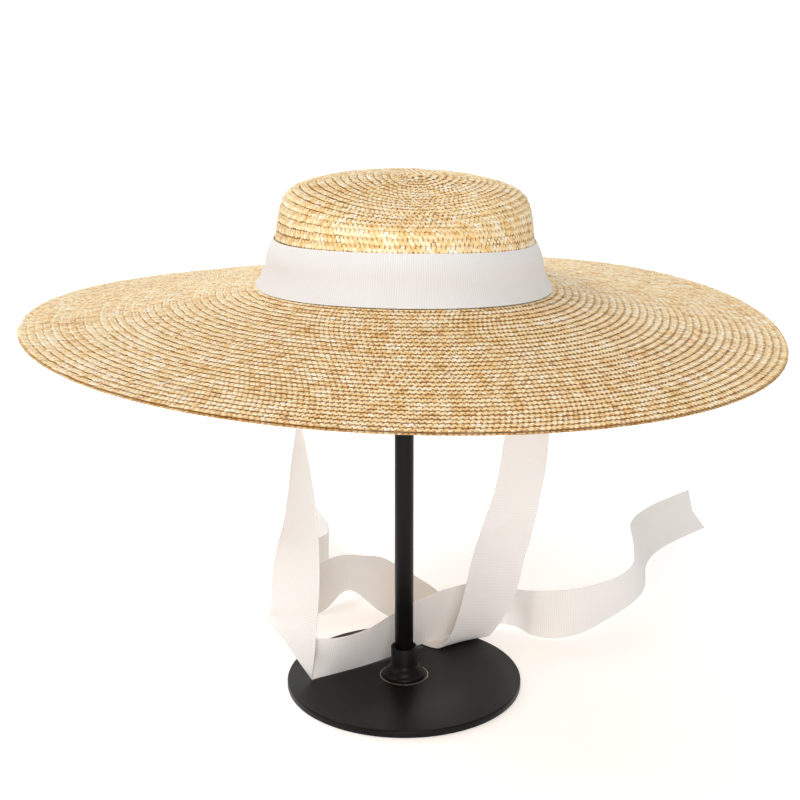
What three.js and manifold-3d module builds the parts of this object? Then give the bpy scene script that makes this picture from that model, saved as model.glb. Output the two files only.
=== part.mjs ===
// Wide-brimmed straw boater with a white ribbon band and two long ribbon ties, on its round-footed
// black stand. Millimetres, +Z up, the origin at the centre of the stand's underside. The hat's
// front looks along -Y.
import * as THREE from 'three';
import { mergeVertices } from 'three/addons/utils/BufferGeometryUtils.js';
import Module from 'manifold-3d';

const wasm = await Module();
wasm.setup();

const GAP = 0.3;              // clearance between neighbouring pieces
const AROUND = 56;            // facets round the hat

// The straw: one braid sewn round and round, two layers thick where the rows lap
const STRAW = 2;
const ROOT_REACH = 87;        // half-width of the crown where it meets the brim
const BRIM_REACH = 241;       // half-width of the brim
const CROWN_OVAL = 7;         // how much further the head oval reaches to front and back
const BRIM_OVAL = 6;          // the same at the brim's edge
const ROOT_HEIGHT = 284.8;    // mean height of the crown's foot above the table
const HAT_ROLL = 0.82;        // degrees, the hat's left side (at +X) hangs lower
const HAT_TILT = 0.89;        // degrees, the back stands higher
const ROOT_SADDLE = 2.5;      // the head oval is this much higher at front and back, lower at the sides
const DROP_EVEN = 17.2;       // the part of the brim's fall that is a straight slope
const DROP_CURVED = 9.6;      // the part that is spent near the crown
const BRIM_SHARES = [0, 0.07, 0.2, 0.4, 0.65, 0.85, 1]; // rows of facets, as shares of the brim's width
const ROOT_LAP = 0.4;         // how far the brim's inner edge reaches in past the crown's wall
const BAND_BEND_FROM = 28;    // the oval's bend fades out between these heights
const BAND_BEND_TO = 50;

// Upper face of the crown from its foot to the middle of the tip: at the sides and back, and at the
// front, where the straw has sunk to a lower shoulder. Both have the same rows.
const CROWN_PROFILE = [
  { reach: 87.0, height: 0.4 },
  { reach: 85.5, height: 10 },
  { reach: 83.2, height: 28 },
  { reach: 81.1, height: 41 },
  { reach: 80.2, height: 44.5 },
  { reach: 79.2, height: 48 },
  { reach: 76.2, height: 53.7 },
  { reach: 72.0, height: 57.2 },
  { reach: 64.0, height: 60.2 },
  { reach: 48.0, height: 64 },
  { reach: 24.0, height: 67 },
  { reach: 0, height: 67 },
];
const CROWN_FRONT_PROFILE = [
  { reach: 87.0, height: 0.4 },
  { reach: 85.5, height: 10 },
  { reach: 83.2, height: 28 },
  { reach: 79.4, height: 41.7 },
  { reach: 76.4, height: 44.3 },
  { reach: 73.6, height: 45.9 },
  { reach: 68.1, height: 48.3 },
  { reach: 63.2, height: 50 },
  { reach: 56.0, height: 53.2 },
  { reach: 41.1, height: 57 },
  { reach: 20.3, height: 62.6 },
  { reach: 0, height: 67 },
];

// Outer face of the ribbon band, from its upper edge to the lip that lies out on the brim
const BAND_THICK = 1.1;
const BAND_PROFILE = [
  { reach: 84.7, height: 28 },
  { reach: 86.4, height: 23.4 },
  { reach: 88.2, height: 18.4 },
  { reach: 89.0, height: 13 },
  { reach: 89.6, height: 9 },
  { reach: 92.0, height: 4.2 },
  { reach: 95.2, height: 0.1 },
];

// The ties: ribbon of one width, through a slit in the brim at each side of the crown
const TIE_WIDTH = 38;
const TIE_THICK = 1;
const TIE_COLUMNS = 3;        // facets across the ribbon
const TIE_STEPS = 2;          // facets along the ribbon between two rows of its table
const TIE_REACH = 0.3;        // part of a step, to both sides, that gives the way along it
const TIE_NOTCH = 7;          // depth of the notch cut in its end
const SLIT_REACH = 88.8;
const SLIT_LENGTH = 40;
const SLIT_WIDTH = 2.4;
const SLIT_DEPTH = 30;        // of the block that cuts it, well past the straw

// One row for each place along the ribbon: the place of its first edge, then the way from there to
// its other edge, as a compass turn from +X and a rise above level, and how far that is measured in
// ribbon widths, which is more than one only along the slanting fold.
const TIE_LEFT = [
  { x: -88.8, y: -19, z: 286.2, turn: 90, rise: 0 },
  { x: -88.6, y: -19, z: 268, turn: 90, rise: 0 },
  { x: -83, y: -18.9, z: 240, turn: 91, rise: 0 },
  { x: -74, y: -18.8, z: 211, turn: 96, rise: 0 },
  { x: -66, y: -18.5, z: 185, turn: 101, rise: 0 },
  { x: -61, y: -17, z: 153, turn: 115, rise: 0 },
  { x: -58.5, y: -15.5, z: 131, turn: 124, rise: 0 },
  { x: -57.3, y: -13.5, z: 112, turn: 132, rise: 0 },
  { x: -57, y: -11, z: 93, turn: 145, rise: 0 },
  { x: -57.5, y: -9, z: 71, turn: 153, rise: -1 },
  { x: -59, y: -9.5, z: 52, turn: 153, rise: -2 },
  { x: -60.5, y: -10, z: 34, turn: 156, rise: 19, span: 1.02 },
  { x: -62.2, y: -10.3, z: 17, turn: 154, rise: 38, span: 1.15 },
  { x: -63.6, y: -10.4, z: 5.8, turn: 153, rise: 48, span: 1.24 },
  { x: -62.4, y: -9, z: 5.3, turn: 147, rise: 51, span: 1.07 },
  { x: -59, y: -6.5, z: 5.3, turn: 149, rise: 62, span: 0.92 },
  { x: -54, y: -3.4, z: 5.3, turn: 202, rise: 75, span: 0.84 },
  { x: -45, y: 2.2, z: 5.3, turn: 266, rise: 70, span: 0.97 },
  { x: -28, y: 13, z: 5.3, turn: 273, rise: 69 },
  { x: -9, y: 27, z: 5.8, turn: 271, rise: 74 },
  { x: 10, y: 43, z: 6.6, turn: 268, rise: 80 },
  { x: 27, y: 56, z: 6.8, turn: 262, rise: 86 },
  { x: 45, y: 68, z: 6.4, turn: 229, rise: 86 },
  { x: 58, y: 79, z: 5.6, turn: 250, rise: 84 },
  { x: 70, y: 89, z: 2.6, turn: 280, rise: 76 },
  { x: 79, y: 92, z: 0.7, turn: 286, rise: 68 },
  { x: 87, y: 86.5, z: 0.5, turn: 280, rise: 71 },
  { x: 96, y: 73, z: 0.5, turn: 287, rise: 83 },
  { x: 112, y: 67, z: 0.5, turn: 80, rise: 87 },
  { x: 132, y: 76, z: 0.5, turn: 246, rise: 87 },
  { x: 159, y: 105, z: 0.5, turn: 255, rise: 72 },
  { x: 178, y: 129, z: 0.5, turn: 248, rise: 66 },
  { x: 189, y: 147, z: 0.5, turn: 238, rise: 66 },
  { x: 195, y: 162, z: 0.5, turn: 215, rise: 70 },
  { x: 199, y: 178, z: 0.5, turn: 185, rise: 72 },
  { x: 202, y: 196, z: 0.5, turn: 172, rise: 70 },
  { x: 206, y: 214, z: 0.5, turn: 165, rise: 67 },
  { x: 214, y: 233, z: 0.5, turn: 158, rise: 65 },
  { x: 226, y: 252, z: 0.5, turn: 152, rise: 64 },
  { x: 242, y: 271, z: 0.5, turn: 150, rise: 62 },
  { x: 258, y: 287, z: 0.5, turn: 146, rise: 62 },
  { x: 275, y: 304, z: 0.5, turn: 142, rise: 61 },
];
const TIE_RIGHT = [
  { x: 88.8, y: -19, z: 283.6, turn: 90, rise: 0 },
  { x: 88.6, y: -18.6, z: 268, turn: 89, rise: 0 },
  { x: 84, y: -12.5, z: 242, turn: 78, rise: 0 },
  { x: 77, y: -6, z: 215, turn: 60, rise: 0 },
  { x: 71, y: -1, z: 192, turn: 43, rise: 0 },
  { x: 66.5, y: 2, z: 174, turn: 32, rise: -3 },
  { x: 65, y: 5, z: 160, turn: 29, rise: -3 },
  { x: 63, y: 8.5, z: 144, turn: 27, rise: -3 },
  { x: 60, y: 13, z: 129, turn: 24, rise: -4 },
  { x: 55.5, y: 20, z: 111, turn: 17, rise: -4 },
  { x: 51.5, y: 27, z: 93, turn: 11, rise: -3 },
  { x: 47.5, y: 34, z: 75, turn: 6, rise: 0 },
  { x: 45, y: 39, z: 58, turn: 6, rise: -1 },
  { x: 42, y: 41.5, z: 42, turn: 14, rise: -5 },
  { x: 39, y: 41, z: 31, turn: 23, rise: -10 },
  { x: 35.5, y: 40, z: 20, turn: 31, rise: -12 },
  { x: 31.5, y: 39, z: 11.5, turn: 35, rise: -9 },
  { x: 26, y: 39.5, z: 6.2, turn: 38, rise: -1 },
  { x: 20, y: 42, z: 5.5, turn: 38, rise: 0 },
  { x: 14, y: 46.5, z: 5.5, turn: 36, rise: 0 },
  { x: 7, y: 56, z: 5.5, turn: 33, rise: 1 },
  { x: 2.5, y: 67, z: 5.5, turn: 29, rise: 8 },
  { x: 0.5, y: 76, z: 5.7, turn: 26, rise: 18 },
  { x: -1.2, y: 83, z: 5.6, turn: 24, rise: 23 },
  { x: -4, y: 91, z: 2.6, turn: 23, rise: 35 },
  { x: -7.5, y: 99, z: 0.7, turn: 22, rise: 45 },
  { x: -14, y: 109, z: 0.5, turn: 22, rise: 53 },
  { x: -22, y: 121, z: 0.6, turn: 24, rise: 58 },
  { x: -30, y: 133, z: 2.4, turn: 10, rise: 70 },
  { x: -37, y: 142, z: 4.6, turn: 296, rise: 73 },
  { x: -44, y: 145, z: 6.4, turn: 275, rise: 69 },
  { x: -50, y: 141, z: 5.4, turn: 266, rise: 73 },
  { x: -56, y: 131, z: 2.2, turn: 232, rise: 84 },
  { x: -61, y: 121, z: 0.6, turn: 122, rise: 82 },
  { x: -67, y: 111, z: 0.5, turn: 114, rise: 79 },
  { x: -77, y: 103, z: 0.5, turn: 95, rise: 80 },
  { x: -90, y: 103, z: 0.5, turn: 60, rise: 84 },
  { x: -101, y: 113, z: 0.5, turn: 20, rise: 84 },
  { x: -104, y: 130, z: 0.5, turn: 340, rise: 86 },
  { x: -99, y: 150, z: 0.5, turn: 300, rise: 87 },
  { x: -87, y: 166, z: 0.5, turn: 290, rise: 88 },
  { x: -73, y: 176, z: 0.5, turn: 290, rise: 89 },
  { x: -64.5, y: 187, z: 0.5, turn: 0, rise: 89 },
  { x: -64, y: 203, z: 0.5, turn: 0, rise: 89 },
  { x: -68, y: 222, z: 0.5, turn: 0, rise: 89 },
  { x: -77, y: 250, z: 0.5, turn: 180, rise: 89 },
  { x: -87, y: 273, z: 0.5, turn: 180, rise: 88 },
  { x: -96, y: 292, z: 0.5, turn: 180, rise: 88 },
];

// The stand: a turned foot, a post in a bell-shaped collar and a plain pad under the crown
const FOOT_RADIUS = 81;
const FOOT_THICK = 4.8;
const FOOT_EDGE = 1.1;        // softening of the foot's upper edge
const FOOT_PROFILE = [
  { radius: 0, height: 0 },
  { radius: FOOT_RADIUS - 0.6, height: 0 },
  { radius: FOOT_RADIUS, height: 0.6 },
  { radius: FOOT_RADIUS, height: FOOT_THICK - FOOT_EDGE },
  { radius: FOOT_RADIUS - 0.35, height: FOOT_THICK - 0.35 },
  { radius: FOOT_RADIUS - FOOT_EDGE, height: FOOT_THICK },
  { radius: 0, height: FOOT_THICK },
];
const POST_RADIUS = 6.4;
const COLLAR_SLEEVE = 9;
const COLLAR_FOOT = 15;
const COLLAR_HEIGHT = 21.5;
const COLLAR_PROFILE = [
  { radius: POST_RADIUS + GAP, height: 0 },
  { radius: COLLAR_FOOT - 0.4, height: 0 },
  { radius: COLLAR_FOOT, height: 0.6 },
  { radius: COLLAR_FOOT - 0.5, height: 2 },
  { radius: COLLAR_FOOT - 2.2, height: 3 },
  { radius: COLLAR_FOOT - 2.6, height: 4.4 },
  { radius: COLLAR_FOOT - 4.2, height: 6 },
  { radius: COLLAR_SLEEVE + 0.3, height: 7.2 },
  { radius: COLLAR_SLEEVE, height: 8.4 },
  { radius: COLLAR_SLEEVE, height: COLLAR_HEIGHT - 0.5 },
  { radius: COLLAR_SLEEVE - 0.5, height: COLLAR_HEIGHT },
  { radius: COLLAR_SLEEVE - 1.2, height: COLLAR_HEIGHT },
  { radius: COLLAR_SLEEVE - 1.5, height: COLLAR_HEIGHT - 2 },
  { radius: POST_RADIUS + GAP, height: COLLAR_HEIGHT - 2.4 },
  { radius: POST_RADIUS + GAP, height: 0 },
];
const PAD_RADIUS = 36;
const PAD_TOP = 347.6;
const PAD_DROP = 8;           // fall of the pad's dome from its middle to its edge
const PAD_EDGE = 4;
const PAD_STEPS = 6;          // rings of facets on the dome
const FOOT_SIDES = 72;        // facets round each turned piece
const COLLAR_SIDES = 36;
const POST_SIDES = 32;
const PAD_SIDES = 40;

const degrees = THREE.MathUtils.degToRad;
const mix = THREE.MathUtils.lerp;

const straw = { color: '#e3c493', roughness: 0.72, metalness: 0 };
const ribbon = { color: '#f1ece4', roughness: 0.85, metalness: 0 };
const satinBlack = { color: '#2b2a29', roughness: 0.42, metalness: 0.25 };

/** A mesh with its own material. */
function piece(name, geometry, finish) {
  geometry.computeVertexNormals();
  const mesh = new THREE.Mesh(geometry, new THREE.MeshStandardMaterial(finish));
  mesh.name = name;
  return mesh;
}

/**
 * A closed skin through rings of points. Every ring runs the same way round, and a ring of one point
 * closes an end. With `looped`, the last ring joins the first.
 */
function skin(rings, { looped = false, capStrips = 0 } = {}) {
  const places = [];
  const faces = [];
  const starts = rings.map((ring) => {
    const start = places.length / 3;
    ring.forEach((point) => places.push(point.x, point.y, point.z));
    return start;
  });
  const joins = looped ? rings.length : rings.length - 1;
  for (let i = 0; i < joins; i += 1) {
    const j = (i + 1) % rings.length;
    const around = Math.max(rings[i].length, rings[j].length);
    const at = (ring, k) => starts[ring] + (rings[ring].length > 1 ? k % around : 0);
    for (let k = 0; k < around; k += 1) {
      if (rings[j].length > 1) faces.push(at(i, k), at(j, k), at(j, k + 1));
      if (rings[i].length > 1) faces.push(at(i, k), at(j, k + 1), at(i, k + 1));
    }
  }
  // A flat ribbon's ends are closed by strips from its upper side to its lower side
  const closeEnd = (start, flip) => {
    const last = 2 * capStrips + 1;
    for (let k = 0; k < capStrips; k += 1) {
      const corners = [start + k, start + k + 1, start + last - k - 1, start + last - k];
      if (flip) corners.reverse();
      faces.push(corners[0], corners[1], corners[2], corners[0], corners[2], corners[3]);
    }
  };
  if (capStrips) {
    closeEnd(starts[0], false);
    closeEnd(starts[rings.length - 1], true);
  }
  const geometry = new THREE.BufferGeometry();
  geometry.setAttribute('position', new THREE.Float32BufferAttribute(places, 3));
  geometry.setIndex(faces);
  return geometry;
}

/** A point of the hat. `extra` is how much further the oval reaches to front and back. */
function hatPoint(angle, reach, extra, height) {
  return new THREE.Vector3(reach * Math.cos(angle), (reach + extra) * Math.sin(angle), height);
}

/** A ring of the hat from the point at each angle round it. */
function hatRing(pointAt) {
  return Array.from({ length: AROUND }, (_, k) => pointAt((2 * Math.PI * k) / AROUND));
}

/** The head oval's own bend: high at front and back, low at the sides. */
const saddle = (angle) => -ROOT_SADDLE * Math.cos(2 * angle);

/** The waves of the brim's edge, where the straw has taken a set. */
const edgeWave = (angle) => 4.2 * Math.sin(2 * angle) + 1.3 * Math.cos(2 * angle)
  + Math.sin(3 * angle) - 1.3 * Math.cos(3 * angle);

/** Length that the head oval adds to front and back; it fades out towards the middle of the tip. */
const crownOval = (reach) => CROWN_OVAL * Math.min(1, reach / ROOT_REACH);

/** The same profile, moved inwards square to itself by the thickness of the wall. */
function insideOf(profile, wall) {
  return profile.map((row, i) => {
    const before = profile[Math.max(i - 1, 0)];
    const after = profile[Math.min(i + 1, profile.length - 1)];
    const run = new THREE.Vector2(after.reach - before.reach, after.height - before.height).normalize();
    const level = row.reach === 0 ? new THREE.Vector2(-1, 0) : run;
    return { reach: Math.max(row.reach - level.y * wall, 0), height: row.height + level.x * wall };
  });
}

/** A point of the crown or band, which share the bend of the head oval; it fades out above the band. */
function headPoint(angle, { reach, height }) {
  const share = 1 - THREE.MathUtils.smoothstep(height, BAND_BEND_FROM, BAND_BEND_TO);
  return hatPoint(angle, reach, crownOval(reach), height + share * saddle(angle));
}

/** How far the crown has sunk from its side profile to its front profile, as a share. */
const sunk = (angle) => Math.max(0, -Math.sin(angle)) ** 2;

/** The crown: a tapering wall, a soft shoulder and a slightly domed tip, open below for the head. */
function crown() {
  const face = (thickness) => CROWN_PROFILE.map((_, i) => {
    const side = insideOf(CROWN_PROFILE, thickness)[i];
    const front = insideOf(CROWN_FRONT_PROFILE, thickness)[i];
    if (i === 0) [side, front].forEach((row) => { row.height = CROWN_PROFILE[0].height; });
    const pointAt = (angle) => headPoint(angle, {
      reach: mix(side.reach, front.reach, sunk(angle)),
      height: mix(side.height, front.height, sunk(angle)),
    });
    return side.reach > 0 ? hatRing(pointAt) : [pointAt(0)];
  });
  return skin([...face(0).reverse(), ...face(STRAW)]);
}

/** Height of the brim's upper face above the crown's foot, and its reach, at a share of its width. */
function brimRow(share) {
  const left = 1 - share;
  const fall = DROP_EVEN * share + DROP_CURVED * (1 - left * left);
  return { share, reach: mix(ROOT_REACH, BRIM_REACH, share), height: -fall };
}

/** The brim: a shallow cone, steeper near the crown, whose edge waves and whose root is cut for the ties. */
function brim() {
  const rows = [{ ...brimRow(0), reach: ROOT_REACH - STRAW - ROOT_LAP }, ...BRIM_SHARES.map(brimRow)];
  const ringAt = ({ share, reach, height }, lift) => hatRing((angle) => hatPoint(
    angle,
    reach,
    mix(CROWN_OVAL, BRIM_OVAL, share),
    height + lift + mix(saddle(angle), edgeWave(angle), share),
  ));
  const upper = rows.map((row) => ringAt(row, 0));
  const lower = rows.map((row) => ringAt(row, -STRAW)).reverse();
  let solid = asSolid(skin([...upper, ...lower], { looped: true }));
  [-1, 1].forEach((side) => {
    const slit = new THREE.BoxGeometry(SLIT_WIDTH, SLIT_LENGTH, SLIT_DEPTH);
    slit.translate(side * SLIT_REACH, 0, 0);
    solid = solid.subtract(asSolid(slit));
  });
  return asGeometry(solid);
}

/** The band: ribbon drawn round the foot of the crown, standing a little off it, its lip on the brim. */
function hatBand() {
  const inner = insideOf(BAND_PROFILE, -BAND_THICK);
  const rows = [...BAND_PROFILE, ...inner.reverse()];
  return skin(rows.map((row) => hatRing((angle) => headPoint(angle, row))), { looped: true });
}

/** Turns a closed geometry into a solid that can be cut. */
function asSolid(geometry) {
  const bare = geometry.clone();
  bare.deleteAttribute('normal');
  bare.deleteAttribute('uv');
  const merged = mergeVertices(bare);
  return new wasm.Manifold(new wasm.Mesh({
    numProp: 3,
    vertProperties: new Float32Array(merged.attributes.position.array),
    triVerts: new Uint32Array(merged.index.array),
  }));
}

function asGeometry(solid) {
  const { vertProperties, triVerts } = solid.getMesh();
  const geometry = new THREE.BufferGeometry();
  geometry.setAttribute('position', new THREE.BufferAttribute(vertProperties, 3));
  geometry.setIndex(new THREE.BufferAttribute(triVerts, 1));
  return geometry;
}

/** A long ribbon along the rows of its table, with a notch cut in its far end. */
function tie(rows) {
  const firstEdge = rows.map((row) => new THREE.Vector3(row.x, row.y, row.z));
  const otherEdge = rows.map((row, i) => {
    const turn = degrees(row.turn);
    const rise = degrees(row.rise);
    const across = new THREE.Vector3(
      Math.cos(rise) * Math.cos(turn),
      Math.cos(rise) * Math.sin(turn),
      Math.sin(rise),
    );
    return firstEdge[i].clone().addScaledVector(across, TIE_WIDTH * (row.span ?? 1));
  });
  const first = new THREE.CatmullRomCurve3(firstEdge);
  const other = new THREE.CatmullRomCurve3(otherEdge);
  const count = (rows.length - 1) * TIE_STEPS;
  const middle = (share) => first.getPoint(share).lerp(other.getPoint(share), 0.5);
  const rings = Array.from({ length: count + 1 }, (_, i) => {
    const share = i / count;
    const start = first.getPoint(share);
    const end = other.getPoint(share);
    const across = end.clone().sub(start).normalize();
    const near = TIE_REACH / count;
    const along = middle(Math.min(share + near, 1)).sub(middle(Math.max(share - near, 0))).normalize();
    const face = along.clone().cross(across).normalize();
    const columns = Array.from({ length: TIE_COLUMNS + 1 }, (_unused, k) => k / TIE_COLUMNS);
    const point = (column, side) => {
      const back = i === count ? TIE_NOTCH * (1 - Math.abs(2 * column - 1)) : 0;
      return start.clone().lerp(end, column)
        .addScaledVector(face, (side * TIE_THICK) / 2)
        .addScaledVector(along, -back);
    };
    return [
      ...columns.map((column) => point(column, 1)),
      ...columns.reverse().map((column) => point(column, -1)),
    ];
  });
  return skin(rings, { capStrips: TIE_COLUMNS });
}

/** A turned piece of the stand, from the rows of its profile. */
function turned(profile, sides) {
  const outline = profile.map(({ radius, height }) => new THREE.Vector2(radius, height));
  const geometry = new THREE.LatheGeometry(outline, sides);
  geometry.rotateX(Math.PI / 2);
  return geometry;
}

/** The pad: a shallow dome on a straight edge, its middle at height 0. */
function standTop() {
  const dome = Array.from({ length: PAD_STEPS + 1 }, (_, i) => {
    const radius = PAD_RADIUS * (1 - i / PAD_STEPS);
    return { radius, height: -PAD_DROP * (radius / PAD_RADIUS) ** 2 };
  });
  const low = -PAD_DROP - PAD_EDGE;
  return turned([{ radius: 0, height: low }, { radius: PAD_RADIUS, height: low }, ...dome], PAD_SIDES);
}

const object = new THREE.Group();

const hat = new THREE.Group();
hat.position.z = ROOT_HEIGHT;
hat.rotation.set(degrees(HAT_TILT), degrees(HAT_ROLL), 0);
hat.add(piece('crown', crown(), straw));
hat.add(piece('brim', brim(), straw));
hat.add(piece('hat_band', hatBand(), ribbon));
object.add(hat);

object.add(piece('tie_left', tie(TIE_LEFT), ribbon));
object.add(piece('tie_right', tie(TIE_RIGHT), ribbon));

const stand = new THREE.Group();
stand.add(piece('stand_base', turned(FOOT_PROFILE, FOOT_SIDES), satinBlack));

const collar = piece('stand_collar', turned(COLLAR_PROFILE, COLLAR_SIDES), satinBlack);
collar.position.z = FOOT_THICK + GAP;
stand.add(collar);

const postFoot = FOOT_THICK + GAP;
const postTop = PAD_TOP - PAD_DROP - PAD_EDGE - GAP;
const postShape = new THREE.CylinderGeometry(POST_RADIUS, POST_RADIUS, postTop - postFoot, POST_SIDES);
postShape.rotateX(Math.PI / 2);
const post = piece('stand_post', postShape, satinBlack);
post.position.z = (postTop + postFoot) / 2;
stand.add(post);

const pad = piece('stand_top', standTop(), satinBlack);
pad.position.z = PAD_TOP;
stand.add(pad);
object.add(stand);

export default object;
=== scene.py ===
"""Wide-brimmed boater of sewn straw braid with grosgrain ribbon ties, on a satin black display stand.

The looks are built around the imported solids, in metres, +Z up, with the hat's front towards -Y.
Tables are in millimetres, as in the part's source, and MM turns them into metres.
"""

import math

import bmesh
import bpy
import numpy as np
from mathutils import Matrix, Vector


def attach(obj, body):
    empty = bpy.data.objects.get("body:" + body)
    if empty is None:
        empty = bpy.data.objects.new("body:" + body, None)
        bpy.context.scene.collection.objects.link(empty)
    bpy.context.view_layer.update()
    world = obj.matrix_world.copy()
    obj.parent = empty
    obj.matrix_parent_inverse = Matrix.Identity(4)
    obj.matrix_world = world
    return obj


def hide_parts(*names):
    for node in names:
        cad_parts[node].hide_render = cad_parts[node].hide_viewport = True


MM = 0.001
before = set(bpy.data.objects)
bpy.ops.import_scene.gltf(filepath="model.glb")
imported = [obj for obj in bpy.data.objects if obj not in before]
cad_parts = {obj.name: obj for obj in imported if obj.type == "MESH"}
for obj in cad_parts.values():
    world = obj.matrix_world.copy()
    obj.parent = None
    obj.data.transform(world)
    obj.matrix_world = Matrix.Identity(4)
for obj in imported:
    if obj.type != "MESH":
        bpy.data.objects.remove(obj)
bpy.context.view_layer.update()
scene = bpy.context.scene

# The view: a lens a little longer than normal, 8 cm higher than the top of the hat and looking down
# at it, as far away as the slant of the brim and the roundness of the foot give.
CAMERA_PLACE = Vector((0, -861.4, 433.4)) * MM
CAMERA_PITCH = 14.99          # degrees below the horizon
CAMERA_YAW = 0.187
CAMERA_LENS = 60.83           # on a 36 mm sensor

camera_data = bpy.data.cameras.new("view")
camera_data.sensor_width = 36
camera_data.lens = CAMERA_LENS
camera = bpy.data.objects.new("view", camera_data)
scene.collection.objects.link(camera)
camera.location = CAMERA_PLACE
camera.rotation_euler = (math.radians(90 - CAMERA_PITCH), 0, math.radians(CAMERA_YAW))
scene.camera = camera


# The display stand: a steel foot, a bell-shaped collar with the post in it, and a domed pad that
# carries the crown. All are turned or pressed and then powder coated in satin black.
FOOT_RADIUS = 81
FOOT_THICK = 4.8
FOOT_EDGE = 1.1               # radius of the foot's upper edge
FOOT_BURR = 0.6               # and of its lower edge
POST_RADIUS = 6.4
POST_CHAMFER = 0.4
COLLAR_FOOT = 15
COLLAR_SLEEVE = 9
COLLAR_HEIGHT = 21.5
COLLAR_PLAY = 0.15            # between its bore and the post
PAD_RADIUS = 36
PAD_TOP = 347.6
PAD_DROP = 8                  # from the dome's middle to its edge
PAD_EDGE = 4
PAD_SOFT = 1.5                # radius of its two edges
STAND_GAP = 0.3               # between neighbours
SHARP_FROM = 50               # degrees: a steeper edge stays sharp in the shading


def srgb(code):
    """A colour as the shader wants it, from its sRGB hex code."""
    shares = [int(code[i:i + 2], 16) / 255 for i in (1, 3, 5)]
    return [c / 12.92 if c <= 0.04045 else ((c + 0.055) / 1.055) ** 2.4 for c in shares] + [1]


def add(tree, kind, inputs=None, **settings):
    """Adds a node. Each input is a value, or the output socket that it is linked to."""
    made = tree.nodes.new(kind)
    for name, value in settings.items():
        setattr(made, name, value)
    for name, value in (inputs or {}).items():
        if isinstance(value, bpy.types.NodeSocket):
            tree.links.new(value, made.inputs[name])
        else:
            made.inputs[name].default_value = value
    return made


def new_finish(name, **values):
    """A material with its shader's own values set, and its node tree and shader."""
    material = bpy.data.materials.new(name)
    material.use_nodes = True
    shader = material.node_tree.nodes["Principled BSDF"]
    for socket, value in values.items():
        shader.inputs[socket.replace("_", " ")].default_value = value
    return material, material.node_tree, shader


def paint_ramp(tree, factor, stops):
    """A colour ramp with one stop for each (place, colour)."""
    ramp = add(tree, "ShaderNodeValToRGB", {"Fac": factor})
    while len(ramp.color_ramp.elements) < len(stops):
        ramp.color_ramp.elements.new(0.5)
    for element, (place, colour) in zip(ramp.color_ramp.elements, stops):
        element.position = place
        element.color = srgb(colour)
    return ramp.outputs["Color"]


def turned(name, profile, sides=128, closed=False):
    """A turned piece from rows of (radius, height) in millimetres, from its lowest row up."""
    mesh = bpy.data.meshes.new(name)
    shape = bmesh.new()
    rings = []
    for radius, height in profile:
        count = sides if radius else 1
        rings.append([
            shape.verts.new((
                radius * MM * math.cos(2 * math.pi * k / count),
                radius * MM * math.sin(2 * math.pi * k / count),
                height * MM,
            ))
            for k in range(count)
        ])
    pairs = list(zip(rings, rings[1:])) + ([(rings[-1], rings[0])] if closed else [])
    for low, high in pairs:
        for k in range(sides):
            corners = [low[k % len(low)], low[(k + 1) % len(low)],
                       high[(k + 1) % len(high)], high[k % len(high)]]
            shape.faces.new(list(dict.fromkeys(corners)))
    bmesh.ops.recalc_face_normals(shape, faces=shape.faces)
    shape.to_mesh(mesh)
    shape.free()
    return mesh


def place(name, mesh, material, slot, *nodes):
    """Puts a finished mesh into the scene as a piece that stands for those CAD nodes."""
    mesh.name = name
    mesh.materials.clear()
    mesh.materials.append(material)
    mesh.shade_smooth()
    mesh.set_sharp_from_angle(angle=math.radians(SHARP_FROM))
    piece = bpy.data.objects.new(name, mesh)
    scene.collection.objects.link(piece)
    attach(piece, "root")
    if nodes:
        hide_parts(*nodes)
    return piece


def rounded(corner_radius, corner_height, radius, turns, steps=5):
    """Rows of (radius, height) round an edge's centre, between two angles in degrees."""
    start, end = turns
    return [
        (corner_radius + radius * math.cos(math.radians(start + (end - start) * k / steps)),
         corner_height + radius * math.sin(math.radians(start + (end - start) * k / steps)))
        for k in range(steps + 1)
    ]


# Satin black powder coat: the baked powder leaves a very fine orange peel, which spreads the
# highlights, and a few grains of dust catch in it.
powder_coat, tree, shader = new_finish("satin_black_powder_coat", Specular_IOR_Level=0.15)
spot = add(tree, "ShaderNodeTexCoord").outputs["Object"]
peel = add(tree, "ShaderNodeTexNoise", {"Vector": spot, "Scale": 900, "Detail": 3})
smear = add(tree, "ShaderNodeTexNoise", {"Vector": spot, "Scale": 26, "Detail": 4, "Roughness": 0.6})
dust = add(tree, "ShaderNodeTexVoronoi", {"Vector": spot, "Scale": 170, "Randomness": 1})
speck = add(tree, "ShaderNodeMapRange", {
    "Value": dust.outputs["Distance"], "From Min": 0.09, "From Max": 0.05, "To Min": 0, "To Max": 1,
})
sparse = add(tree, "ShaderNodeMapRange", {
    "Value": dust.outputs["Color"], "From Min": 0.93, "From Max": 0.95, "To Min": 0, "To Max": 1,
})
dusty = add(tree, "ShaderNodeMath", {0: speck.outputs[0], 1: sparse.outputs[0]}, operation="MULTIPLY")
coat_colour = paint_ramp(tree, smear.outputs["Fac"], [(0.3, "#0d0c0c"), (0.7, "#131211")])
coat_and_dust = add(tree, "ShaderNodeMix", {
    "Factor": dusty.outputs[0], "A": coat_colour, "B": srgb("#8b8680"),
}, data_type="RGBA")
tree.links.new(coat_and_dust.outputs["Result"], shader.inputs["Base Color"])
rubbed = add(tree, "ShaderNodeMapRange", {"Value": smear.outputs["Fac"], "To Min": 0.3, "To Max": 0.44})
tree.links.new(rubbed.outputs[0], shader.inputs["Roughness"])
skin = add(tree, "ShaderNodeBump", {"Height": peel.outputs["Fac"], "Strength": 0.12, "Distance": 0.0002})
tree.links.new(skin.outputs["Normal"], shader.inputs["Normal"])

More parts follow.
